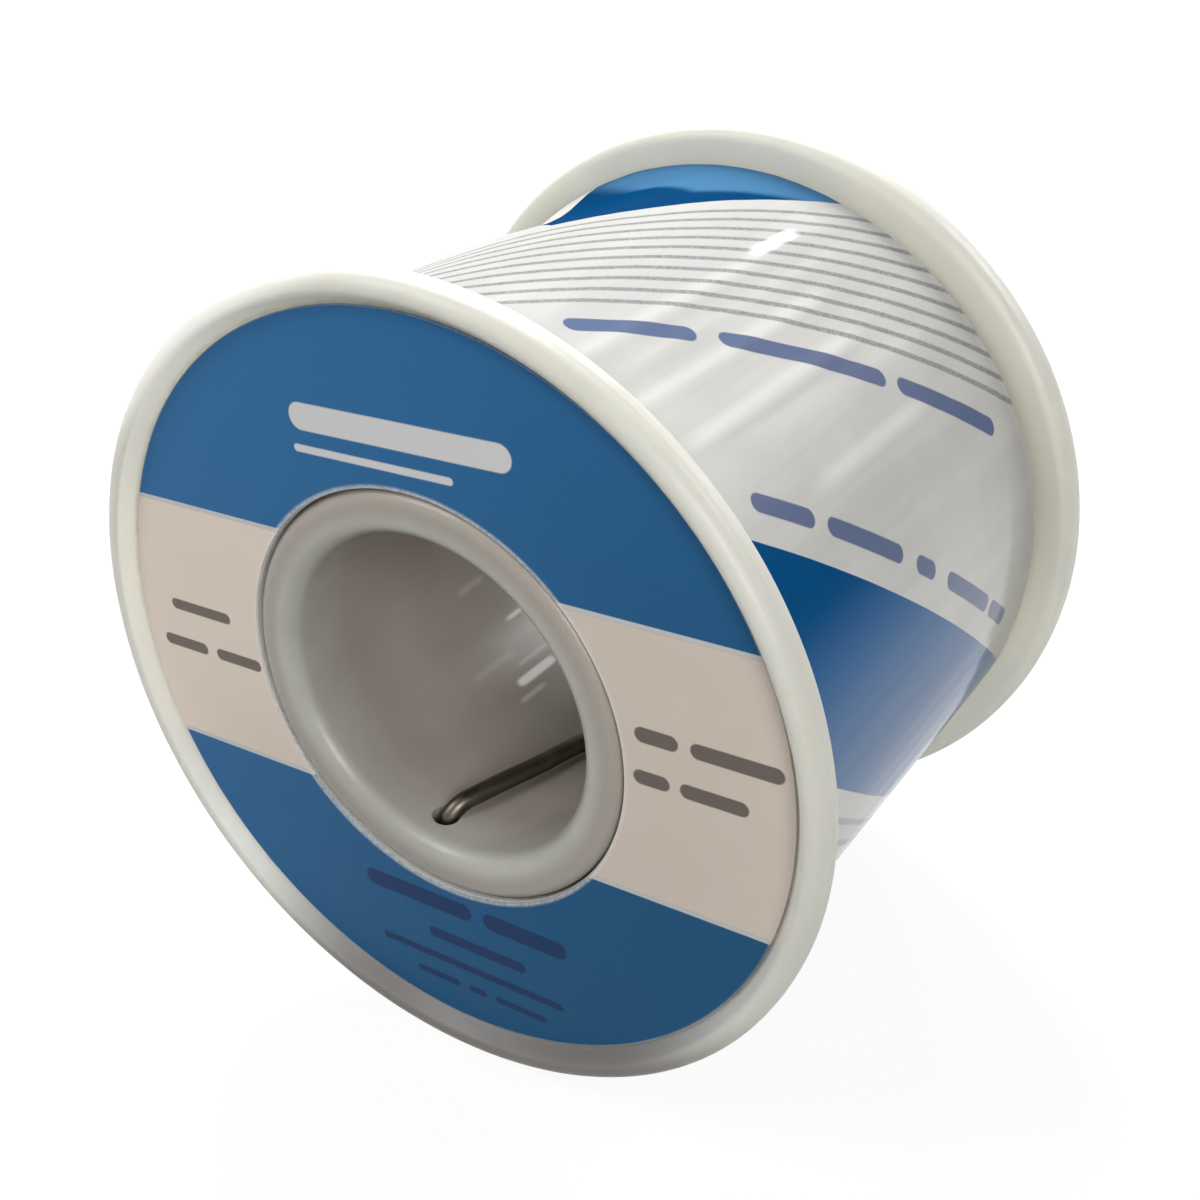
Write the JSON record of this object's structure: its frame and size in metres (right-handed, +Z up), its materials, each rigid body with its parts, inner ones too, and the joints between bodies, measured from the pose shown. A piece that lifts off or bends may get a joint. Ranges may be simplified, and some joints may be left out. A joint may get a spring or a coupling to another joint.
{
  "type": "solder wire spool",
  "caption": "Small reel of flux-cored solder wire: rimmed plastic flanges on a bored barrel, a full winding under a printed paper strip, and the wire's start bent into the bore.",
  "frame": {"origin": "the reel's middle, on its axis", "axes": "+Y along the reel's axis, from the labelled face to the plain face; +Z up as the reel stands on its two rims; +X to the right seen from the labelled face"},
  "size_m": [0.05, 0.0382, 0.05],
  "materials": {
    "flange_plastic": "semi-gloss ivory polystyrene, moulded",
    "barrel_plastic": "semi-gloss greyer polystyrene, moulded",
    "solder_metal": "bright satin tin-lead alloy, drawn",
    "rosin_flux": "amber rosin",
    "wrap_paper": "coated paper strip, cream with blue bands and grey rules",
    "disc_paper": "coated paper ring, blue with a warm grey band"
  },
  "bodies": {
    "root": {"barrel": "barrel_plastic", "front_flange": "flange_plastic", "rear_flange": "flange_plastic", "solder_inner_layers": "solder_metal", "solder_outer_layer": "solder_metal", "solder_start_tail": "solder_metal", "rosin_flux_core": "rosin_flux", "wrap_label": "wrap_paper", "front_label": "disc_paper"}
  },
  "joints": []
}
